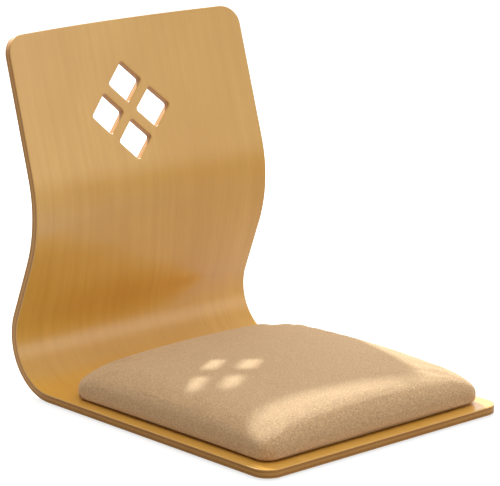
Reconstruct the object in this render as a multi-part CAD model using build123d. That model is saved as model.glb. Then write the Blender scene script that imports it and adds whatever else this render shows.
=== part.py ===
from build123d import *
from math import atan2, cos, degrees, radians, sin, sqrt
import os

# A legless floor chair. One moulded plywood shell is the seat and the back: flat under the
# sitter, turned up in a tight bend, leaning forward to the small of the back and then away,
# with the upper back dished so that its sides reach round. Four diamonds pierce the back.
# A fabric-covered pad lies on the seat, held down by hook and loop tape, and lifts off.
# Millimetres. X runs across, the sitter faces -Y, Z is up from the floor.

# Shell, measured along the face that the sitter touches
seat_length = 420.0
bend_radius = 65.0
bend_angle = 112.0
lean_length = 76.0
lumbar_radius = 185.0
lumbar_angle = 38.0
upper_length = 188.0
front_width = 408.0
top_width = 392.0
front_corner_radius = 23.0
top_corner_radius = 26.0
top_arch = 4.8

# Dish of the back: its depth, and the length above the bend over which it grows
dish_depth = 25.5
dish_run = 120.0

# Plies: a veneer on each face, and an odd number of crossed core plies between
face_veneer = 1.15
core_ply = 2.9
core_grains = ("cross", "long", "cross")

# Diamond cut-outs: four squares that stand on their corners
diamond_side = 40.0
diamond_pitch = 77.0
diamond_drop = 122.0
diamond_corner_radius = 3.5

# Felt floor pads
floor_pad_side = 26.0
floor_pad_height = 2.5
floor_pad_side_inset = 36.0
floor_pad_front_inset = 42.0
floor_pad_bend_inset = 24.0

# Seat pad: the rim of bare seat round it, its height, and the arcs of its side, shoulder and crown
pad_side_margin = 14.0
pad_front_margin = 14.3
pad_rear_margin = 23.5
pad_height = 54.8
pad_belly_height = 11.2
pad_side_radius = 37.0
pad_shoulder_radius = 14.0
pad_crown_radius = 1560.0
pad_corner_radius = 29.5

# What the seat pad is made of
cover_thickness = 1.2
cover_ease = 0.3
cover_turn_under = 24.0
board_thickness = 4.0
board_edge_gap = 1.5
foam_thickness = 28.0
foam_edge_gap = 9.0
sheet_corner_cut = 20.0
base_cloth_thickness = 0.4
base_cloth_inset = 12.0

# Staples, driven up through the base cloth and the cover into the board
staple_crown = 10.0
staple_wire = 0.9
staple_leg = 4.6
staple_inset = 17.0
staple_pitch = 90.0
staples_per_side = 4

# Hook tape on the seat and loop tape under the pad
tape_length = 60.0
tape_width = 25.0
tape_thickness = 1.0
tape_clearance = 0.3
tape_inset = 55.0

bend_arc = bend_radius * radians(bend_angle)
lumbar_arc = lumbar_radius * radians(lumbar_angle)
bend_end = seat_length + bend_arc
lean_end = bend_end + lean_length
lumbar_end = lean_end + lumbar_arc
shell_length = lumbar_end + upper_length
shell_thickness = 2 * face_veneer + len(core_grains) * core_ply
pad_width = front_width - 2 * pad_side_margin
pad_depth = seat_length - pad_front_margin - pad_rear_margin
pad_centre_y = pad_front_margin + pad_depth / 2
pad_bottom = 2 * tape_thickness + tape_clearance + base_cloth_thickness
board_bottom = pad_bottom + cover_thickness
board_top = board_bottom + board_thickness

# How finely the curves are banded, and the spare length of the cutting tools
bend_bands = 6
lean_bands = 5
lumbar_bands = 8
pad_bands = 3
trim_allowance = 6.0
tool_reach = 70.0
tiny_step = 1e-4


def side_profile(s):
    """Y, Z and slope of the sitter's face at distance s from the front edge, seen from the side."""
    if s <= seat_length:
        return s, 0.0, 0.0
    turned = min(s - seat_length, bend_arc) / bend_radius
    y = seat_length + bend_radius * sin(turned)
    z = bend_radius * (1 - cos(turned))
    if s <= bend_end:
        return y, z, turned
    lean = radians(bend_angle)
    run = min(s, lean_end) - bend_end
    y += run * cos(lean)
    z += run * sin(lean)
    if s <= lean_end:
        return y, z, lean
    slope = lean - min(s - lean_end, lumbar_arc) / lumbar_radius
    y += lumbar_radius * (sin(lean) - sin(slope))
    z += lumbar_radius * (cos(slope) - cos(lean))
    run = max(0.0, s - lumbar_end)
    return y + run * cos(slope), z + run * sin(slope), slope


def dish(s):
    """Depth of the dish on the centre line at s, and how fast it grows there."""
    part = min(max((s - bend_end) / dish_run, 0.0), 1.0)
    return dish_depth * part * part * (3 - 2 * part), dish_depth * 6 * part * (1 - part) / dish_run


def half_width(s):
    return (front_width + (top_width - front_width) * s / shell_length) / 2


def shell_point(across, s, depth):
    """A point in the shell: across is -1 to 1, and depth is measured in from the sitter's face."""
    y, z, slope = side_profile(s)
    dished, growth = dish(s)
    half = half_width(s)
    bowl = 1 - across * across
    tilt = sqrt(1 + (2 * dished * across / half) ** 2 + (growth * bowl) ** 2)
    sunk = dished * bowl + depth * tilt
    return Vector(across * half, y + sunk * sin(slope), z - sunk * cos(slope))


def parabola(place):
    """Control points of the parabola through place(-1), place(0) and place(1)."""
    left, middle, right = place(-1), place(0), place(1)
    return [left, middle * 2 - (left + right) * 0.5, right]


def curved_band(start, end, depth):
    """A band of the shell between two stations, leaving and arriving along the shell's own slope."""
    reach = (end - start) / 3 / tiny_step

    def leaving(across):
        here = shell_point(across, start, depth)
        return here + (shell_point(across, start + tiny_step, depth) - here) * reach

    def arriving(across):
        here = shell_point(across, end, depth)
        return here + (shell_point(across, end - tiny_step, depth) - here) * reach

    first = parabola(lambda across: shell_point(across, start, depth))
    last = parabola(lambda across: shell_point(across, end, depth))
    return Face.make_bezier_surface([first, parabola(leaving), parabola(arriving), last])


def straight_band(start, end, depth):
    """A band of the upper back, which is dished across and straight up its length."""
    ends = [parabola(lambda across: shell_point(across, s, depth)) for s in (start, end)]
    return Face.make_bezier_surface(ends)


def glue_line(depth):
    """The whole curved surface at one depth in the shell, as bands from the front edge to the top."""
    curved = [seat_length + bend_arc * i / bend_bands for i in range(bend_bands + 1)]
    curved += [bend_end + lean_length * i / lean_bands for i in range(1, lean_bands + 1)]
    curved += [lean_end + lumbar_arc * i / lumbar_bands for i in range(1, lumbar_bands + 1)]
    straight = [lumbar_end, shell_length - diamond_drop, shell_length - 2 * top_corner_radius]
    straight += [shell_length + trim_allowance]
    flat = [[shell_point(across, s, depth) for across in (-1, 1)] for s in (0.0, seat_length)]
    bands = [Face.make_bezier_surface(flat)]
    bands += [curved_band(start, end, depth) for start, end in zip(curved, curved[1:])]
    bands += [straight_band(start, end, depth) for start, end in zip(straight, straight[1:])]
    return bands


def rim_edges(bands):
    """The free edges round a glue line, in a fixed order: front, top, then both sides."""
    rims = [bands[0].edges().sort_by(Axis.Y)[0], bands[-1].edges().sort_by(Axis.Z)[-1]]
    for band in bands:
        rims += [band.edges().sort_by(Axis.X)[0], band.edges().sort_by(Axis.X)[-1]]
    return rims


def blank_ply(near_bands, far_bands):
    """One ply before trimming: the two glue lines and the walls between their rims."""
    pairs = zip(rim_edges(near_bands), rim_edges(far_bands))
    walls = [Face.make_surface_from_curves(near, far) for near, far in pairs]
    return Solid(Shell(near_bands + far_bands + walls))


def back_plane():
    """The plane of the upper back: X across, Y up the back, its origin at the middle of the top edge."""
    y, z, slope = side_profile(shell_length)
    return Plane(origin=(0, y, z), x_dir=(1, 0, 0), z_dir=(0, -sin(slope), cos(slope)))


def diamonds():
    """The four cut-outs, drawn together round the middle of their pattern."""
    middle = Pos(0, -diamond_drop)
    square = Rot(0, 0, 45) * RectangleRounded(diamond_side, diamond_side, diamond_corner_radius)
    return [middle * place * square for place in PolarLocations(diamond_pitch / 2, 4, rotate=False)]


def top_waste():
    """What is cut away above the arched top edge and outside its two rounded corners."""
    top_half = half_width(shell_length - top_arch)
    low = -2 * top_corner_radius
    low_half = half_width(shell_length + low)
    arch = ThreePointArc((-top_half, -top_arch), (0, 0), (top_half, -top_arch))
    sides = Polyline((top_half, -top_arch), (low_half, low), (-low_half, low), (-top_half, -top_arch))
    kept = make_face([arch] + sides.edges())
    kept = fillet(kept.vertices().sort_by(Axis.Y)[-2:], top_corner_radius)
    corner_start = kept.vertices().sort_by(Axis.Y)[2].Y
    block = Pos(0, corner_start + tool_reach / 2) * Rectangle(front_width + tool_reach, tool_reach)
    return block - kept


def trimmed_ply(blank):
    """A ply with its front corners rounded, its top shaped and the diamonds cut through it."""
    front_edges = blank.edges().group_by(Axis.Y)[0]
    corner_edges = front_edges.sort_by(SortBy.LENGTH)[:2]
    ply = blank.fillet(front_corner_radius, corner_edges)
    for outline in [top_waste()] + diamonds():
        ply -= back_plane() * extrude(outline, tool_reach, both=True)
    return max(ply.solids(), key=lambda solid: solid.volume)


def shell_plies():
    """Every ply by name, from the sitter's face inwards. Neighbours share one glue line."""
    plies = {"sitting_face_veneer": face_veneer}
    for count, grain in enumerate(core_grains, 1):
        plies[f"core_ply_{count}_{grain}"] = core_ply
    plies["outer_face_veneer"] = face_veneer
    depth = 0.0
    near_bands = glue_line(depth)
    for name, thickness in plies.items():
        depth += thickness
        far_bands = glue_line(depth)
        plies[name] = trimmed_ply(blank_ply(near_bands, far_bands))
        near_bands = far_bands
    return plies


def floor_pads():
    """Felt squares stuck under the flat of the seat."""
    side = front_width / 2 - floor_pad_side_inset
    rows = {"front": floor_pad_front_inset, "rear": seat_length - floor_pad_bend_inset}
    under = (Align.CENTER, Align.CENTER, Align.MAX)
    felt = Box(floor_pad_side, floor_pad_side, floor_pad_height, align=under)
    pads = {}
    for row, y in rows.items():
        for hand, sign in (("left", -1), ("right", 1)):
            pads[f"floor_pad_{row}_{hand}"] = Pos(sign * side, y, -shell_thickness) * felt
    return pads


def tapes():
    """Hook tape on the seat, and the loop tape that meets it under the pad."""
    side = pad_width / 2 - tape_inset
    rows = {"front": -1, "rear": 1}
    strip = Box(tape_length, tape_width, tape_thickness, align=(Align.CENTER, Align.CENTER, Align.MIN))
    layers = {"hook_tape": 0.0, "loop_tape": tape_thickness + tape_clearance}
    pieces = {}
    for row, towards in rows.items():
        y = pad_centre_y + towards * (pad_depth / 2 - tape_inset)
        for hand, sign in (("left", -1), ("right", 1)):
            for layer, z in layers.items():
                pieces[f"{layer}_{row}_{hand}"] = Pos(sign * side, y, z) * strip
    return pieces


def arc_about(centre, start, end):
    """The short arc from start to end about a centre."""
    radius = (start - centre).length
    middle = centre + ((start - centre) + (end - centre)).normalized() * radius
    return ThreePointArc(start, middle, end)


def pad_side_view(inset, floor):
    """Half of the pad's outline seen from the front: an arc up its side and an arc over its shoulder."""
    side_radius = pad_side_radius - inset
    side_centre = Vector(pad_width / 2 - pad_side_radius, pad_bottom + pad_belly_height)
    crown_centre = Vector(0, pad_bottom + pad_height - pad_crown_radius)
    # the shoulder touches the side and the crown from inside, which places its centre
    to_side = pad_side_radius - pad_shoulder_radius
    to_crown = pad_crown_radius - pad_shoulder_radius
    span = side_centre - crown_centre
    along = (to_crown ** 2 - to_side ** 2 + span.length ** 2) / (2 * span.length)
    across = sqrt(to_crown ** 2 - along ** 2)
    unit = span.normalized()
    shoulder_centre = crown_centre + unit * along + Vector(unit.Y, -unit.X) * across
    low = side_centre + Vector(sqrt(side_radius ** 2 - (floor - side_centre.Y) ** 2), floor - side_centre.Y)
    touch = side_centre + (shoulder_centre - side_centre).normalized() * side_radius
    high = shoulder_centre + Vector(0, pad_shoulder_radius - inset)
    return arc_about(side_centre, low, touch), arc_about(shoulder_centre, touch, high)


def pad_plan(half):
    """The pad seen from above, at a level where it reaches this far from its centre line."""
    corner = pad_corner_radius - (pad_width / 2 - half)
    return RectangleRounded(2 * half, 2 * half + pad_depth - pad_width, corner)


def pad_form(inset, floor):
    """The pad's pillow form: drafted bands up its side and over its shoulder, under a domed crown."""
    side, shoulder = pad_side_view(inset, floor)
    points = [side @ (i / pad_bands) for i in range(pad_bands)]
    points += [shoulder @ (i / pad_bands) for i in range(pad_bands + 1)]
    top = points[-1]
    bands = [Pos(0, 0, top.Y) * extrude(pad_plan(top.X), pad_bottom + pad_height - top.Y)]
    for low, high in zip(points, points[1:]):
        draft = degrees(atan2(low.X - high.X, high.Y - low.Y))
        bands.append(Pos(0, 0, low.Y) * extrude(pad_plan(low.X), high.Y - low.Y, taper=draft))
    dome = Pos(0, 0, pad_bottom + pad_height - pad_crown_radius) * Rot(90) * Sphere(pad_crown_radius - inset)
    return Pos(0, pad_centre_y) * (bands[0].fuse(*bands[1:]) & dome)


def under_side(inset):
    """Width and depth of a rectangle set in from the cover's lower edge."""
    side, _ = pad_side_view(0.0, pad_bottom)
    width = 2 * ((side @ 0).X - inset)
    return width, width + pad_depth - pad_width


def clipped_sheet(inset, thickness):
    """A soft sheet under the pad, its corners clipped."""
    outline = Rectangle(*under_side(inset))
    return Pos(0, pad_centre_y) * extrude(chamfer(outline.vertices(), sheet_corner_cut), thickness)


def cushion_cover():
    """The fitted cloth: a pillow-shaped skin, turned under all round and open in the middle below."""
    inside = pad_form(cover_thickness, board_bottom)
    mouth = clipped_sheet(cover_turn_under, cover_thickness)
    return pad_form(0.0, pad_bottom) - inside - Pos(0, 0, pad_bottom) * mouth


def pad_board():
    """The thin board that keeps the pad flat and takes the staples."""
    gap = cover_thickness + board_edge_gap
    outline = RectangleRounded(*under_side(gap), pad_corner_radius - gap)
    return Pos(0, pad_centre_y, board_bottom) * extrude(outline, board_thickness)


def foam_block():
    """The foam on the board."""
    gap = cover_thickness + board_edge_gap + foam_edge_gap
    return Pos(0, 0, board_top) * clipped_sheet(gap, foam_thickness)


def wadding_layer():
    """Soft fibre between the foam and the cover, which gives the pad its shoulders and its crown."""
    filling = pad_form(cover_thickness + cover_ease, board_bottom)
    return split(filling, Plane.XY.offset(board_top)) - foam_block()


def base_cloth():
    """The dust cloth that hides the turned-under edge of the cover."""
    cloth = clipped_sheet(base_cloth_inset, base_cloth_thickness)
    return Pos(0, 0, pad_bottom - base_cloth_thickness) * cloth


def cover_staples():
    """A row of staples along each side, driven up into the board through the cloths."""
    crown = Box(staple_crown, staple_wire, staple_wire)
    leg = Box(staple_wire, staple_wire, staple_leg, align=(Align.CENTER, Align.CENTER, Align.MIN))
    leg_x = (staple_crown - staple_wire) / 2
    staple = crown + Pos(-leg_x, 0) * leg + Pos(leg_x, 0) * leg
    along = GridLocations(staple_pitch, 0, staples_per_side, 1)
    z = pad_bottom - base_cloth_thickness - staple_wire / 2
    group = []
    for turn, reach in ((0, pad_depth), (90, pad_width), (180, pad_depth), (270, pad_width)):
        side = Pos(0, pad_centre_y, z) * Rot(0, 0, turn) * Pos(0, reach / 2 - staple_inset)
        group += [side * place * staple for place in along]
    return Compound(group)


def all_pieces():
    pieces = shell_plies()
    pieces.update(floor_pads())
    pieces.update(tapes())
    pieces["pad_board"] = pad_board()
    pieces["foam_block"] = foam_block()
    pieces["wadding_layer"] = wadding_layer()
    pieces["cushion_cover"] = cushion_cover()
    pieces["base_cloth"] = base_cloth()
    pieces["cover_staples"] = cover_staples()
    return pieces


# The origin is on the floor, under the middle of the chair
overall_depth = shell_point(0.0, shell_length, shell_thickness).Y
stand = Pos(0, -overall_depth / 2, shell_thickness + floor_pad_height)
os.makedirs("parts", exist_ok=True)
for name, piece in all_pieces().items():
    export_step(stand * piece, f"parts/{name}.step")
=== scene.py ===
from math import atan2, ceil, cos, pi, radians, sin, sqrt, tan

import bpy
import numpy as np
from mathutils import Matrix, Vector
from mathutils.geometry import delaunay_2d_cdt
from mathutils.kdtree import KDTree


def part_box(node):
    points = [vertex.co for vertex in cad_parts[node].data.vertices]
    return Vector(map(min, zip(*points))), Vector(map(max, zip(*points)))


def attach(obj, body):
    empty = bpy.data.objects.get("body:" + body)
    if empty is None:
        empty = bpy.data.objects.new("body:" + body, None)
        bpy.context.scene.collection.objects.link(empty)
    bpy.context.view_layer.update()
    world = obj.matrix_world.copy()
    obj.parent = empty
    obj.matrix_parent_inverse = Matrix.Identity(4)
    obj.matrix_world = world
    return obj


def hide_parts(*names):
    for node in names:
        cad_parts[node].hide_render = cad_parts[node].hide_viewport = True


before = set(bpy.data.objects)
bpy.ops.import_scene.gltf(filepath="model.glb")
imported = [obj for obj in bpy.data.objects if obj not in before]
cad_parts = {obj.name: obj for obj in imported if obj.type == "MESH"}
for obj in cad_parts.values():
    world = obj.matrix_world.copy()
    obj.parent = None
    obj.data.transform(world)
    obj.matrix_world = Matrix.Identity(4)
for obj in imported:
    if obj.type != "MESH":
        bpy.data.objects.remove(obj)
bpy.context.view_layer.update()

MM = 0.001

# ---- The shell's driving sizes, in millimetres, as the construction has them ----
seat_length = 420.0
bend_radius = 65.0
bend_angle = radians(112.0)
lean_length = 76.0
lumbar_radius = 185.0
lumbar_angle = radians(38.0)
upper_length = 188.0
front_width = 408.0
top_width = 392.0
front_corner_radius = 23.0
top_corner_radius = 26.0
top_arch = 4.8
dish_depth = 25.5
dish_run = 120.0
plies = [
    ("sitting_face_veneer", 1.15),
    ("core_ply_1_cross", 2.9),
    ("core_ply_2_long", 2.9),
    ("core_ply_3_cross", 2.9),
    ("outer_face_veneer", 1.15),
]
diamond_side = 40.0
diamond_pitch = 77.0
diamond_drop = 122.0
diamond_corner_radius = 3.5
arris_radius = 0.9
face_grid = 4.0
core_grid = 9.0
rim_step = 4.0
rim_clearance = 0.6
arris_rings = 4
sharp_angle = radians(50)

bend_end = seat_length + bend_radius * bend_angle
lean_end = bend_end + lean_length
lumbar_end = lean_end + lumbar_radius * lumbar_angle
shell_length = lumbar_end + upper_length

# ---- The seat pad, in millimetres above the seat ----
pad_width = 380.0
pad_depth = 382.2
pad_height = 54.8
pad_belly_height = 11.2
pad_side_radius = 37.0
pad_shoulder_radius = 14.0
pad_crown_radius = 1560.0
pad_corner_radius = 29.5
pad_front_corner_radius = 21.0
pad_skirt = 0.8
pad_skirt_width = 30.0
pad_corner_limit = 0.96
pad_corner_droop = 14.3
pad_front_setback = 14.3
pad_droop_power = 1.5
pad_crown_middle = 0.5
pad_side_steps = 10
pad_shoulder_steps = 6
pad_crown_steps = 24
pad_corner_steps = 12
pad_edge_steps = 40
pad_swell = 1.6
pad_most_moved = pad_swell + 1
pad_voxel = 5.0
pad_held_band = 2.0
cloth_frames = 20

# ---- The yarns of the cover, in metres ----
yarn_pitch = 0.0011

# ---- Where the frame puts them ----
seat_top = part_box("hook_tape_front_left")[0].z
chair_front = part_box("sitting_face_veneer")[0].y
pad_bottom = (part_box("cushion_cover")[0].z - seat_top) / MM
pad_centre_y = pad_front_setback + pad_depth / 2

# ---- The photograph's camera: its place in millimetres, its turn, pitch, lens and sensor ----
camera_place = (-2346.4, -2323.8, 1067.6)
camera_turn = radians(42.32)
camera_pitch = radians(14.0)
camera_lens = 202.7
camera_sensor = 36
camera_reach = 50

# ---- The fill, stronger from above and from the right, and two lamps behind the chair's right shoulder ----
fill_low = 0.27
fill_high = 1.50
fill_from = (0.40, 0.0, 0.92)
lamp_target = (0.0, 200.0, 60.0)
key_place = (495.0, 2060.0, 1850.0)
key_size = 0.07
key_watts = 104
key_colour = (0.88, 0.96, 1.0)
rim_place = (1000.0, 1700.0, 1100.0)
rim_size = 1.4
rim_watts = 13
rim_colour = (0.92, 0.97, 1.0)

# ---- What the floor gives back, and the wall and ceiling that the lacquer mirrors ----
floor_size = 30
floor_darkest = (0.32, 0.32, 0.32)
floor_palest = (0.34, 0.34, 0.34)
floor_seen_glow = 0.76
floor_mirrored_glow = 0.10
wall_foot = {"From Min": -0.05, "From Max": 0.26, "To Min": 0.45, "To Max": 1.0}
wall_top = {"From Min": 0.32, "From Max": 0.60, "To Min": 1.55, "To Max": 0.3}


def in_frame(x, y, z):
    """A point given from the middle of the seat's front edge, in millimetres, as a point of the frame."""
    return Vector((x * MM, chair_front + y * MM, seat_top + z * MM))


# ======================= The shell's surface =======================

def side_profile(s):
    """Y, Z and slope of the sitter's face at distances s from the front edge."""
    turned = np.clip(s - seat_length, 0, bend_radius * bend_angle) / bend_radius
    y = np.minimum(s, seat_length) + bend_radius * np.sin(turned)
    z = bend_radius * (1 - np.cos(turned))
    run = np.clip(s - bend_end, 0, lean_length)
    y = y + run * cos(bend_angle)
    z = z + run * sin(bend_angle)
    slope = bend_angle - np.clip(s - lean_end, 0, lumbar_radius * lumbar_angle) / lumbar_radius
    y = y + lumbar_radius * (sin(bend_angle) - np.sin(slope))
    z = z + lumbar_radius * (np.cos(slope) - cos(bend_angle))
    run = np.maximum(0.0, s - lumbar_end)
    y = y + run * np.cos(slope)
    z = z + run * np.sin(slope)
    return y, z, np.where(s < bend_end, turned, slope)


def half_width(s):
    """Half the shell's width at a distance along it from the front edge."""
    return (front_width + (top_width - front_width) * s / shell_length) / 2


def shell_points(x, s, depth):
    """Points of the shell for arrays of x, distance along the sitter's face, and depth into the wood."""
    y, z, slope = side_profile(s)
    part = np.clip((s - bend_end) / dish_run, 0, 1)
    dished = dish_depth * part * part * (3 - 2 * part)
    growth = dish_depth * 6 * part * (1 - part) / dish_run
    half = half_width(s)
    across = x / half
    bowl = 1 - across * across
    tilt = np.sqrt(1 + (2 * dished * across / half) ** 2 + (growth * bowl) ** 2)
    sunk = dished * bowl + depth * tilt
    points = np.stack([x, y + sunk * np.sin(slope), z - sunk * np.cos(slope)], axis=1) * MM
    return points + np.array([0.0, chair_front, seat_top])


# ======================= Flat outlines =======================

def rounded_outline(corners, radii, step):
    """Points round a polygon with rounded corners, about a step apart, in the order of its corners."""
    corners = [Vector(corner) for corner in corners]
    points = []
    count = len(corners)
    for i in range(count):
        corner = corners[i]
        to_last = (corners[i - 1] - corner).normalized()
        to_next = (corners[(i + 1) % count] - corner).normalized()
        half_angle = to_last.angle(to_next) / 2
        centre = corner + (to_last + to_next).normalized() * (radii[i] / sin(half_angle))
        start = corner + to_last * (radii[i] / tan(half_angle)) - centre
        turn = start.angle_signed(corner + to_next * (radii[i] / tan(half_angle)) - centre)
        stops = max(4, ceil(abs(turn) * radii[i] / step))
        for k in range(stops + 1):
            angle = -turn * k / stops
            x = start.x * cos(angle) - start.y * sin(angle)
            y = start.x * sin(angle) + start.y * cos(angle)
            points.append(centre + Vector((x, y)))
        ahead = corners[(i + 1) % count]
        behind_next = (corner - ahead).normalized()
        after = (corners[(i + 2) % count] - ahead).normalized()
        next_half = behind_next.angle(after) / 2
        landing = ahead + behind_next * (radii[(i + 1) % count] / tan(next_half))
        leaving = points[-1]
        gap = (landing - leaving).length
        pieces = max(1, round(gap / step))
        points += [leaving.lerp(landing, k / pieces) for k in range(1, pieces)]
    return np.array([tuple(point) for point in points])


def outward(loop):
    """Unit normals of a closed loop that has the material on its left."""
    ahead = np.roll(loop, -1, axis=0) - np.roll(loop, 1, axis=0)
    normals = np.stack([ahead[:, 1], -ahead[:, 0]], axis=1)
    return normals / np.linalg.norm(normals, axis=1)[:, None]


def shell_loops():
    """The developed outline of the shell and of its four diamonds, material on the left of each."""
    corner_s = shell_length - top_arch
    top_half = half_width(corner_s)
    corners = [(-front_width / 2, 0), (front_width / 2, 0), (top_half, corner_s), (-top_half, corner_s)]
    radii = [front_corner_radius, front_corner_radius, top_corner_radius, top_corner_radius]
    outer = rounded_outline(corners, radii, rim_step)
    near_top = np.clip((outer[:, 1] - (corner_s - top_corner_radius)) / top_corner_radius, 0, 1)
    outer[:, 1] += near_top * top_arch * (1 - (outer[:, 0] / top_half) ** 2)
    loops = [outer]
    reach = diamond_side / sqrt(2)
    middle = shell_length - diamond_drop
    for dx, ds in ((0, 1), (0, -1), (-1, 0), (1, 0)):
        cx = dx * diamond_pitch / 2
        cs = middle + ds * diamond_pitch / 2
        square = [(cx, cs + reach), (cx + reach, cs), (cx, cs - reach), (cx - reach, cs)]
        loops.append(rounded_outline(square, [diamond_corner_radius] * 4, rim_step / 2))
    return loops


def inside(points, loop):
    """Which points lie inside a closed loop."""
    x, y = points[:, 0], points[:, 1]
    crossings = np.zeros(len(points), int)
    for a, b in zip(loop, np.roll(loop, -1, axis=0)):
        spans = (a[1] > y) != (b[1] > y)
        if spans.any():
            meets = a[0] + (y - a[1]) * (b[0] - a[0]) / (b[1] - a[1] + 1e-12)
            crossings += spans & (x < meets)
    return crossings % 2 == 1


def in_material(points, loops):
    """Which points lie inside the first loop and outside the others."""
    kept = inside(points, loops[0])
    for hole in loops[1:]:
        kept &= ~inside(points, hole)
    return kept


def triangulated(loops, grid):
    """Flat points, rim points first, and triangles that fill the material between the loops."""
    rim = np.vstack(loops)
    tree = KDTree(len(rim))
    for i, point in enumerate(rim):
        tree.insert((point[0], point[1], 0), i)
    tree.balance()
    low, high = rim.min(axis=0), rim.max(axis=0)
    columns = np.linspace(low[0], high[0], ceil((high[0] - low[0]) / grid))
    rows = np.linspace(low[1], high[1], ceil((high[1] - low[1]) / grid))
    field = np.array([(x, s) for s in rows for x in columns])
    field = field[in_material(field, loops)]
    clear = [tree.find((x, s, 0))[2] > rim_clearance * min(grid, rim_step) for x, s in field]
    points = np.vstack([rim, field[np.array(clear)]])
    edges = []
    start = 0
    for loop in loops:
        edges += [(start + i, start + (i + 1) % len(loop)) for i in range(len(loop))]
        start += len(loop)
    result = delaunay_2d_cdt([Vector(point) for point in points], edges, [], 0, 1e-6)
    places, faces, sources = result[0], result[2], result[3]
    index = np.array([source[0] for source in sources])
    faces = np.array([face for face in faces if len(face) == 3])
    flat = np.array([tuple(place) for place in places])
    middles = flat[faces].mean(axis=1)
    faces = index[faces[in_material(middles, loops)]]
    a, b, c = points[faces[:, 0]], points[faces[:, 1]], points[faces[:, 2]]
    ab, ac = b - a, c - a
    clockwise = ab[:, 0] * ac[:, 1] - ab[:, 1] * ac[:, 0] < 0
    faces[clockwise] = faces[clockwise][:, ::-1]
    return points, faces


# ======================= Meshes =======================

def new_object(name, mesh):
    piece = bpy.data.objects.new(name, mesh)
    bpy.context.scene.collection.objects.link(piece)
    return piece


def ply_mesh(name, near, far, loops, points, faces, near_arris, far_arris):
    """One ply: two curved faces joined by walls, with a rounded arris on a face that shows."""
    normals = np.vstack([outward(loop) for loop in loops])
    rim_count = len(normals)
    layers = []
    if near_arris:
        for k in range(arris_rings + 1):
            turn = pi / 2 * k / arris_rings
            layers.append((arris_radius * (1 - sin(turn)), near + arris_radius * (1 - cos(turn))))
    else:
        layers.append((0.0, near))
    if far_arris:
        for k in range(arris_rings + 1):
            turn = pi / 2 * (1 - k / arris_rings)
            layers.append((arris_radius * (1 - sin(turn)), far - arris_radius * (1 - cos(turn))))
    else:
        layers.append((0.0, far))

    sheet = []
    for number, (inset, depth) in enumerate(layers):
        ring = points[:rim_count] - normals * inset
        flat = ring
        if number in (0, len(layers) - 1):
            flat = np.vstack([ring, points[rim_count:]])
        sheet.append(np.column_stack([flat, np.full(len(flat), depth)]))
    starts = np.cumsum([0] + [len(layer) for layer in sheet])
    sheet = np.vstack(sheet)
    places = shell_points(sheet[:, 0], sheet[:, 1], sheet[:, 2])

    polygons = [tuple(face) for face in faces]
    polygons += [tuple(face[::-1] + starts[-2]) for face in faces]
    edge_from = len(polygons)
    first = 0
    for loop in loops:
        count = len(loop)
        for number in range(len(layers) - 1):
            a, b = starts[number] + first, starts[number + 1] + first
            for i in range(count):
                j = (i + 1) % count
                polygons.append((a + j, a + i, b + i, b + j))
        first += count

    mesh = bpy.data.meshes.new(name)
    mesh.from_pydata([tuple(place) for place in places], [], polygons)
    mesh.polygons.foreach_set("use_smooth", [True] * len(polygons))
    mesh.polygons.foreach_set("material_index", [0] * edge_from + [1] * (len(polygons) - edge_from))
    attribute = mesh.attributes.new("sheet", "FLOAT_VECTOR", "POINT")
    attribute.data.foreach_set("vector", (sheet * MM).ravel())
    mesh.update()
    mesh.set_sharp_from_angle(angle=sharp_angle)
    return new_object(name, mesh)


def arc_points(centre, start, end, count):
    """Points along the short arc from start to end about a centre."""
    radius = (start - centre).length
    first = atan2(start.y - centre.y, start.x - centre.x)
    last = atan2(end.y - centre.y, end.x - centre.x)
    turns = [first + (last - first) * k / count for k in range(count + 1)]
    return [centre + Vector((cos(turn), sin(turn))) * radius for turn in turns]


def pad_side_view(inset, floor):
    """Half of the pad's outline from the front: up its side, over the shoulder, along the crown."""
    side_centre = Vector((pad_width / 2 - pad_side_radius, pad_bottom + pad_belly_height))
    crown_centre = Vector((0, pad_bottom + pad_height - pad_crown_radius))
    to_side = pad_side_radius - pad_shoulder_radius
    to_crown = pad_crown_radius - pad_shoulder_radius
    span = side_centre - crown_centre
    along = (to_crown ** 2 - to_side ** 2 + span.length ** 2) / (2 * span.length)
    unit = span.normalized()
    aside = sqrt(to_crown ** 2 - along ** 2)
    shoulder_centre = crown_centre + unit * along + Vector((unit.y, -unit.x)) * aside
    side_radius = pad_side_radius - inset
    drop = floor - side_centre.y
    low = side_centre + Vector((sqrt(side_radius ** 2 - drop ** 2), drop))
    lower = side_centre + (shoulder_centre - side_centre).normalized() * side_radius
    upper = crown_centre + (shoulder_centre - crown_centre).normalized() * (pad_crown_radius - inset)
    rise = sqrt((pad_crown_radius - inset) ** 2 - pad_crown_middle ** 2)
    high = crown_centre + Vector((pad_crown_middle, rise))
    side = arc_points(side_centre, low, lower, pad_side_steps)
    shoulder = arc_points(shoulder_centre, lower, upper, pad_shoulder_steps)
    crown = arc_points(crown_centre, upper, high, pad_crown_steps)
    return side + shoulder[1:] + crown[1:]


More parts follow.
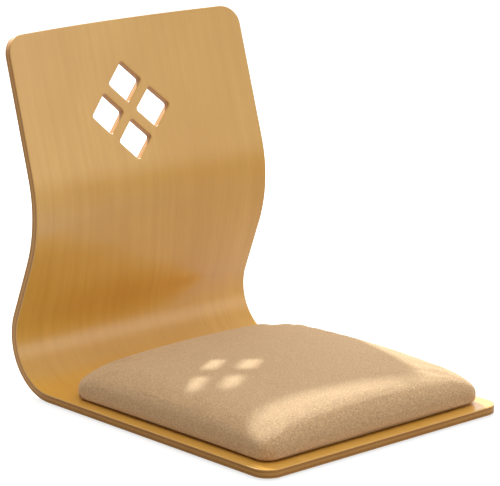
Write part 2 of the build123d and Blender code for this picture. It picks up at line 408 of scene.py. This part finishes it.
def pad_start(inset):
    """A closed pillow a little inside the finished pad, its corners drooping, for the cloth to swell from."""
    skirt = pad_skirt + inset / 2
    floor = pad_bottom + inset / 2
    side_view = pad_side_view(inset, skirt)
    rows = []
    per_corner = pad_corner_steps
    signs = ((1, 1), (-1, 1), (-1, -1), (1, -1))
    radii = [pad_corner_radius] * 2 + [pad_front_corner_radius] * 2
    for point in [Vector((side_view[0].x - pad_skirt_width, floor))] + side_view:
        half = point.x + inset
        wide, deep = point.x, point.x + (pad_depth - pad_width) / 2
        corners = []
        for radius in radii:
            corner = min(radius + half * (1 - 2 * half / pad_width), pad_corner_limit * half) - inset
            corners.append(max(0.2, min(corner, point.x)))
        turns = []
        for quarter, (sx, sy) in enumerate(signs):
            corner = corners[quarter]
            for k in range(per_corner + 1):
                angle = pi / 2 * (quarter + k / per_corner)
                turns.append(Vector((sx * (wide - corner) + corner * cos(angle),
                                     sy * (deep - corner) + corner * sin(angle))))
        ring = []
        for quarter in range(4):
            turn = turns[quarter * (per_corner + 1):(quarter + 1) * (per_corner + 1)]
            landing = turns[(quarter + 1) % 4 * (per_corner + 1)]
            ring += turn + [turn[-1].lerp(landing, k / pad_edge_steps) for k in range(1, pad_edge_steps)]
        risen = max(0.0, min(1.0, (point.y - pad_bottom) / pad_height)) ** pad_droop_power
        row = []
        for place in ring:
            cornerness = abs(place.x * place.y) * 4 / (pad_width * pad_depth)
            z = max(skirt, point.y - pad_corner_droop * risen * cornerness ** 2)
            row.append(tuple(in_frame(place.x, pad_centre_y + place.y, z)))
        rows.append(row)
    count = len(rows[0])
    vertices = [place for row in rows for place in row]
    faces = []
    for r in range(len(rows) - 1):
        for i in range(count):
            j = (i + 1) % count
            faces.append((r * count + i, r * count + j, (r + 1) * count + j, (r + 1) * count + i))
    faces.append(tuple(range(count))[::-1])
    faces.append(tuple(range((len(rows) - 1) * count, len(rows) * count)))
    mesh = bpy.data.meshes.new("seat_cushion")
    mesh.from_pydata(vertices, [], faces)
    mesh.update()
    return new_object("seat_cushion", mesh)


def apply_modifiers(piece):
    """Puts the evaluated shape into the piece's own mesh."""
    graph = bpy.context.evaluated_depsgraph_get()
    shaped = bpy.data.meshes.new_from_object(piece.evaluated_get(graph))
    piece.modifiers.clear()
    piece.data = shaped


def swell(piece, most):
    """Meshes the pad evenly and blows it up like a stuffed bag, its underside held and each move capped."""
    form = new_object("pad_form", piece.data.copy())
    remesh = piece.modifiers.new("even_mesh", "REMESH")
    remesh.mode = "VOXEL"
    remesh.voxel_size = pad_voxel * MM
    hug = piece.modifiers.new("back_onto_the_form", "SHRINKWRAP")
    hug.target = form
    apply_modifiers(piece)
    bpy.data.objects.remove(form)
    rest = np.array([vertex.co for vertex in piece.data.vertices])
    low = rest[:, 2].min()
    held = piece.vertex_groups.new(name="underside")
    held.add([i for i in range(len(rest)) if rest[i, 2] < low + pad_held_band * MM], 1.0, "REPLACE")
    cloth = piece.modifiers.new("cloth", "CLOTH").settings
    cloth.quality = 6
    cloth.mass = 0.3
    cloth.tension_stiffness = 12
    cloth.compression_stiffness = 12
    cloth.shear_stiffness = 4
    cloth.bending_stiffness = 1.0
    cloth.use_pressure = True
    cloth.uniform_pressure_force = 4
    cloth.effector_weights.gravity = 0
    cloth.vertex_group_mass = "underside"
    scene = bpy.context.scene
    for number in range(1, cloth_frames + 1):
        scene.frame_set(number)
    apply_modifiers(piece)
    scene.frame_set(1)
    moved = np.array([vertex.co for vertex in piece.data.vertices])
    shift = moved - rest
    length = np.linalg.norm(shift, axis=1)
    scale = np.minimum(1, most / np.maximum(length, 1e-9))
    final = rest + shift * scale[:, None]
    piece.data.vertices.foreach_set("co", final.ravel())
    piece.data.polygons.foreach_set("use_smooth", [True] * len(piece.data.polygons))
    piece.data.update()
    finer = piece.modifiers.new("finer", "SUBSURF")
    finer.levels = 1
    finer.render_levels = 1
    apply_modifiers(piece)


# ======================= Materials =======================

class Shader:
    """A small helper that adds nodes to one material."""

    def __init__(self, name):
        self.material = bpy.data.materials.new(name)
        self.material.use_nodes = True
        self.tree = self.material.node_tree
        self.principled = self.tree.nodes["Principled BSDF"]

    def node(self, kind, inputs=None, **settings):
        made = self.tree.nodes.new(kind)
        for key, value in settings.items():
            setattr(made, key, value)
        for key, value in (inputs or {}).items():
            if isinstance(value, bpy.types.NodeSocket):
                self.tree.links.new(value, made.inputs[key])
            else:
                made.inputs[key].default_value = value
        return made

    def noise(self, vector, scale, detail=3.0, roughness=0.5):
        inputs = {"Vector": vector, "Scale": scale, "Detail": detail, "Roughness": roughness}
        return self.node("ShaderNodeTexNoise", inputs).outputs["Fac"]

    def stretched(self, vector, scale, turn=(0, 0, 0)):
        return self.node("ShaderNodeMapping", {"Vector": vector, "Scale": scale, "Rotation": turn}).outputs[0]

    def ramp(self, factor, stops):
        made = self.node("ShaderNodeValToRGB", {"Fac": factor})
        elements = made.color_ramp.elements
        while len(elements) < len(stops):
            elements.new(0.5)
        for element, (position, colour) in zip(elements, stops):
            element.position = position
            element.color = (*colour, 1)
        return made.outputs["Color"]

    def mix(self, factor, first, second, blend="MIX"):
        made = self.node("ShaderNodeMix", data_type="RGBA", blend_type=blend)
        for key, value in ((0, factor), (6, first), (7, second)):
            if isinstance(value, bpy.types.NodeSocket):
                self.tree.links.new(value, made.inputs[key])
            else:
                made.inputs[key].default_value = (*value, 1) if isinstance(value, tuple) else value
        return made.outputs[2]

    def maths(self, operation, first, second=0.0):
        made = self.node("ShaderNodeMath", operation=operation)
        for key, value in ((0, first), (1, second)):
            if isinstance(value, bpy.types.NodeSocket):
                self.tree.links.new(value, made.inputs[key])
            else:
                made.inputs[key].default_value = value
        return made.outputs[0]

    def remap(self, value, low, high, new_low, new_high):
        inputs = {"Value": value, "From Min": low, "From Max": high, "To Min": new_low, "To Max": new_high}
        return self.node("ShaderNodeMapRange", inputs).outputs[0]

    def grey(self, value):
        return self.node("ShaderNodeCombineColor", {0: value, 1: value, 2: value}).outputs[0]

    def bump(self, height, distance, strength=1.0, under=None):
        inputs = {"Height": height, "Distance": distance, "Strength": strength}
        if under is not None:
            inputs["Normal"] = under
        return self.node("ShaderNodeBump", inputs).outputs[0]

    def attribute(self, name):
        return self.node("ShaderNodeAttribute", attribute_name=name).outputs["Vector"]

    def object_place(self):
        return self.node("ShaderNodeTexCoord").outputs["Object"]

    def finish(self, **inputs):
        for key, value in inputs.items():
            socket = self.principled.inputs[key]
            if isinstance(value, bpy.types.NodeSocket):
                self.tree.links.new(value, socket)
            else:
                socket.default_value = value
        return self.material


def srgb(red, green, blue):
    """A colour written as 0 to 255 sRGB, as linear values."""
    values = []
    for part in (red, green, blue):
        part /= 255
        values.append(part / 12.92 if part <= 0.04045 else ((part + 0.055) / 1.055) ** 2.4)
    return tuple(values)


def lacquered_veneer():
    """Honey-coloured veneer with a quiet straight grain along the shell, under a satin lacquer."""
    shader = Shader("lacquered_veneer")
    sheet = shader.attribute("sheet")
    fibres = shader.noise(shader.stretched(sheet, (1100, 30, 40)), 1.0, 4.0, 0.6)
    streaks = shader.noise(shader.stretched(sheet, (90, 2.4, 5)), 1.0, 3.0, 0.5)
    clouds = shader.noise(shader.stretched(sheet, (9, 5, 5)), 1.0, 2.0, 0.5)
    flecks = shader.noise(shader.stretched(sheet, (1600, 190, 60)), 1.0, 1.0, 0.5)
    base = shader.ramp(clouds, [(0.32, srgb(227, 170, 72)), (0.68, srgb(236, 182, 86))])
    base = shader.mix(shader.remap(streaks, 0.35, 0.7, 0.0, 0.5), base, srgb(221, 160, 62))
    fine = shader.remap(fibres, 0.25, 0.8, 0.93, 1.04)
    base = shader.mix(1.0, base, shader.grey(fine), "MULTIPLY")
    base = shader.mix(shader.remap(flecks, 0.66, 0.80, 0.0, 0.16), base, srgb(178, 118, 46))
    gloss = shader.remap(fibres, 0.2, 0.8, 0.26, 0.34)
    bump = shader.bump(fibres, 0.00005, 0.3)
    return shader.finish(**{"Base Color": base, "Roughness": gloss, "Normal": bump, "IOR": 1.55,
                            "Coat Weight": 0.55, "Coat Roughness": 0.2, "Coat IOR": 1.55})


def ply_edge(name, dark, light, across):
    """The sanded edge of a ply: end grain shows pores, edge grain shows short lines."""
    shader = Shader(name)
    sheet = shader.attribute("sheet")
    scale = (420, 420, 900) if across else (60, 60, 2200)
    grain = shader.noise(shader.stretched(sheet, scale), 1.0, 3.0, 0.6)
    wide = shader.noise(shader.stretched(sheet, (30, 30, 60)), 1.0, 2.0, 0.5)
    colour = shader.ramp(grain, [(0.3, dark), (0.7, light)])
    shade = shader.remap(wide, 0.3, 0.7, 0.0, 0.35)
    colour = shader.mix(shade, colour, dark)
    bump = shader.bump(grain, 0.0001, 0.5)
    rough = shader.remap(grain, 0.2, 0.8, 0.38, 0.55)
    return shader.finish(**{"Base Color": colour, "Roughness": rough, "Normal": bump, "Coat Weight": 0.15,
                            "Coat Roughness": 0.35})


def woven_cover():
    """Plain-weave upholstery cloth: crossing yarns with painted shade between them, slubs and a soft sheen.
    """
    shader = Shader("woven_cover")
    place = shader.object_place()
    normal = shader.node("ShaderNodeNewGeometry").outputs["Normal"]
    facing = shader.node("ShaderNodeSeparateXYZ", {0: normal})
    parts = shader.node("ShaderNodeSeparateXYZ", {0: place})
    yarns = 2 * pi / yarn_pitch

    def weave(u, v):
        over = shader.maths("SINE", shader.maths("MULTIPLY", u, yarns))
        under = shader.maths("SINE", shader.maths("MULTIPLY", v, yarns))
        return shader.maths("ABSOLUTE", shader.maths("ADD", over, under))

    top = weave(parts.outputs[0], parts.outputs[1])
    side = weave(parts.outputs[1], parts.outputs[2])
    front = weave(parts.outputs[0], parts.outputs[2])
    up = shader.maths("POWER", shader.maths("ABSOLUTE", facing.outputs[2]), 2.0)
    along = shader.maths("POWER", shader.maths("ABSOLUTE", facing.outputs[0]), 2.0)
    ahead = shader.maths("POWER", shader.maths("ABSOLUTE", facing.outputs[1]), 2.0)
    height = shader.maths("ADD", shader.maths("MULTIPLY", top, up),
                          shader.maths("ADD", shader.maths("MULTIPLY", side, along),
                                       shader.maths("MULTIPLY", front, ahead)))
    slubs = shader.noise(place, 520.0, 3.0, 0.65)
    mottle = shader.noise(place, 160.0, 2.0, 0.5)
    dark, middling, light = srgb(164, 100, 46), srgb(218, 156, 88), srgb(252, 212, 146)
    base = shader.ramp(slubs, [(0.34, dark), (0.50, middling), (0.66, light)])
    # Painted shade: the colour is darkened where the weave sinks between the yarns.
    shade = shader.remap(height, 0.0, 1.6, 0.78, 1.04)
    base = shader.mix(1.0, base, shader.grey(shade), "MULTIPLY")
    tone = shader.remap(mottle, 0.3, 0.7, 0.0, 0.25)
    base = shader.mix(tone, base, srgb(182, 122, 62))
    weave_bump = shader.bump(height, 0.0003, 0.7)
    bump = shader.bump(slubs, 0.0009, 0.5, weave_bump)
    return shader.finish(**{"Base Color": base, "Roughness": 0.75, "Normal": bump, "Sheen Weight": 1.0,
                            "Sheen Roughness": 0.8, "Sheen Tint": (*srgb(255, 226, 184), 1),
                            "Specular IOR Level": 0.9})


def fibrous(name, dark, light, scale, bump_height, rough=0.95):
    """Felt, wadding, foam, tape and non-woven cloth: matted fibres or cells."""
    shader = Shader(name)
    place = shader.object_place()
    fibres = shader.noise(place, scale, 4.0, 0.7)
    clumps = shader.noise(place, scale / 6, 2.0, 0.5)
    colour = shader.ramp(fibres, [(0.3, dark), (0.7, light)])
    colour = shader.mix(shader.remap(clumps, 0.35, 0.7, 0.0, 0.4), colour, dark)
    bump = shader.bump(fibres, bump_height, 0.8)
    return shader.finish(**{"Base Color": colour, "Roughness": rough, "Normal": bump, "Sheen Weight": 0.2})


def steel_wire():
    shader = Shader("staple_wire")
    drawn = shader.noise(shader.stretched(shader.object_place(), (900, 900, 900)), 1.0, 2.0, 0.5)
    rough = shader.remap(drawn, 0.3, 0.7, 0.22, 0.42)
    colour = shader.ramp(drawn, [(0.3, srgb(176, 176, 180)), (0.7, srgb(206, 206, 210))])
    return shader.finish(**{"Base Color": colour, "Metallic": 1.0, "Roughness": rough,
                            "Normal": shader.bump(drawn, 0.00005, 0.4)})


def bare_board():
    shader = Shader("bare_board")
    place = shader.object_place()
    grain = shader.noise(shader.stretched(place, (12, 260, 260)), 1.0, 4.0, 0.6)
    colour = shader.ramp(grain, [(0.3, srgb(150, 112, 72)), (0.7, srgb(190, 152, 106))])
    bump = shader.bump(grain, 0.0002, 0.5)
    return shader.finish(**{"Base Color": colour, "Roughness": 0.8, "Normal": bump})


def give(piece, *materials):
    piece.data.materials.clear()
    for material in materials:
        piece.data.materials.append(material)


# ======================= The object =======================

def build_shell():
    loops = shell_loops()
    fine = triangulated(loops, face_grid)
    coarse = triangulated(loops, core_grid)
    face = lacquered_veneer()
    veneer_edge = ply_edge("veneer_edge", srgb(196, 130, 48), srgb(216, 154, 68), False)
    cross_edge = ply_edge("cross_ply_edge", srgb(164, 104, 38), srgb(192, 132, 58), True)
    long_edge = ply_edge("long_ply_edge", srgb(190, 130, 52), srgb(212, 156, 74), False)
    depth = 0.0
    for number, (node, thickness) in enumerate(plies):
        first, last = number == 0, number == len(plies) - 1
        points, faces = fine if first or last else coarse
        piece = ply_mesh("ply_" + node, depth, depth + thickness, loops, points, faces, first, last)
        if first or last:
            give(piece, face, veneer_edge)
        else:
            edge = cross_edge if node.endswith("cross") else long_edge
            give(piece, edge, edge)
        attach(piece, "chair_shell")
        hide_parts(node)
        depth += thickness


def build_cushion():
    cushion = pad_start(pad_swell)
    swell(cushion, pad_most_moved * MM)
    give(cushion, woven_cover())
    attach(cushion, "seat_pad")
    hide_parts("cushion_cover", "wadding_layer", "foam_block")


def dress_nodes():
    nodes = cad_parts
    felt = fibrous("felt", srgb(52, 44, 36), srgb(86, 74, 62), 900.0, 0.0004)
    hooks = fibrous("hook_tape", srgb(26, 25, 24), srgb(64, 62, 58), 2200.0, 0.0006, 0.7)
    loops = fibrous("loop_tape", srgb(30, 28, 27), srgb(70, 66, 62), 1500.0, 0.0008)
    cloth = fibrous("base_cloth", srgb(22, 22, 23), srgb(44, 43, 44), 1200.0, 0.0002)
    for name, node in nodes.items():
        if name.startswith("floor_pad"):
            give(node, felt)
        if name.startswith("hook_tape"):
            give(node, hooks)
        if name.startswith("loop_tape"):
            give(node, loops)
    give(nodes["base_cloth"], cloth)
    give(nodes["pad_board"], bare_board())
    give(nodes["cover_staples"], steel_wire())


# ======================= The studio =======================

def build_floor():
    bpy.ops.mesh.primitive_plane_add(size=floor_size)
    floor = bpy.context.object
    floor.name = "floor"
    shader = Shader("pale_floor")
    speckle = shader.noise(shader.object_place(), 3.0, 2.0, 0.5)
    colour = shader.ramp(speckle, [(0.2, floor_darkest), (0.8, floor_palest)])
    material = shader.finish(**{"Base Color": colour, "Roughness": 0.9, "Specular IOR Level": 0.1})
    tree = shader.tree
    rays = shader.node("ShaderNodeLightPath")
    glow = shader.node("ShaderNodeEmission", {"Color": (1, 1, 1, 1)})
    seen = shader.maths("MULTIPLY", rays.outputs["Is Camera Ray"], floor_seen_glow)
    mirrored = shader.maths("MULTIPLY", rays.outputs["Is Glossy Ray"], floor_mirrored_glow)
    tree.links.new(shader.maths("ADD", seen, mirrored), glow.inputs["Strength"])
    total = shader.node("ShaderNodeAddShader")
    tree.links.new(shader.principled.outputs[0], total.inputs[0])
    tree.links.new(glow.outputs[0], total.inputs[1])
    tree.links.new(total.outputs[0], tree.nodes["Material Output"].inputs["Surface"])
    give(floor, material)


def build_world():
    """White to the camera, the fill to all else, and to the lacquer a pale wall under a dim ceiling."""
    world = bpy.data.worlds.new("studio")
    bpy.context.scene.world = world
    world.use_nodes = True
    tree = world.node_tree
    background = tree.nodes["Background"]
    background.inputs["Color"].default_value = (1, 1, 1, 1)

    def node(kind, **settings):
        made = tree.nodes.new(kind)
        for key, value in settings.items():
            setattr(made, key, value)
        return made

    rays = node("ShaderNodeLightPath")
    ways = node("ShaderNodeTexCoord")
    height = node("ShaderNodeSeparateXYZ")
    towards = node("ShaderNodeVectorMath", operation="DOT_PRODUCT")
    tree.links.new(ways.outputs["Generated"], towards.inputs[0])
    towards.inputs[1].default_value = fill_from
    fill = node("ShaderNodeMapRange")
    tree.links.new(towards.outputs["Value"], fill.inputs["Value"])
    for key, value in {"From Min": 0.0, "From Max": 1.0, "To Min": fill_low, "To Max": fill_high}.items():
        fill.inputs[key].default_value = value
    tree.links.new(ways.outputs["Generated"], height.inputs[0])
    wall = node("ShaderNodeMath", operation="MULTIPLY")
    for number, limits in enumerate((wall_foot, wall_top)):
        part = node("ShaderNodeMapRange", interpolation_type="SMOOTHSTEP")
        tree.links.new(height.outputs[2], part.inputs["Value"])
        for key, value in limits.items():
            part.inputs[key].default_value = value
        tree.links.new(part.outputs[0], wall.inputs[number])
    choose_wall = node("ShaderNodeMix")
    tree.links.new(rays.outputs["Is Glossy Ray"], choose_wall.inputs[0])
    tree.links.new(fill.outputs[0], choose_wall.inputs[2])
    tree.links.new(wall.outputs[0], choose_wall.inputs[3])
    choose_white = node("ShaderNodeMix")
    tree.links.new(rays.outputs["Is Camera Ray"], choose_white.inputs[0])
    tree.links.new(choose_wall.outputs[0], choose_white.inputs[2])
    choose_white.inputs[3].default_value = 1.0
    tree.links.new(choose_white.outputs[0], background.inputs["Strength"])


def add_lamp(name, place, size, watts, colour):
    data = bpy.data.lights.new(name, "AREA")
    data.shape = "DISK"
    data.size = size
    data.energy = watts
    data.color = colour
    lamp = bpy.data.objects.new(name, data)
    lamp.location = in_frame(*place)
    lamp.rotation_euler = (in_frame(*lamp_target) - in_frame(*place)).to_track_quat("-Z", "Y").to_euler()
    bpy.context.scene.collection.objects.link(lamp)
    return lamp


def build_lights():
    add_lamp("key", key_place, key_size, key_watts, key_colour)
    rim = add_lamp("rim", rim_place, rim_size, rim_watts, rim_colour)
    rim.visible_glossy = False


def build_camera():
    data = bpy.data.cameras.new("camera")
    data.sensor_fit = "HORIZONTAL"
    data.sensor_width = camera_sensor
    data.lens = camera_lens
    data.clip_end = camera_reach
    camera = bpy.data.objects.new("camera", data)
    camera.location = in_frame(*camera_place)
    camera.rotation_euler = (pi / 2 - camera_pitch, 0, -camera_turn)
    bpy.context.scene.collection.objects.link(camera)
    bpy.context.scene.camera = camera


build_camera()
build_world()
build_lights()
build_floor()
build_shell()
build_cushion()
dress_nodes()
bpy.context.scene.view_settings.view_transform = "Standard"
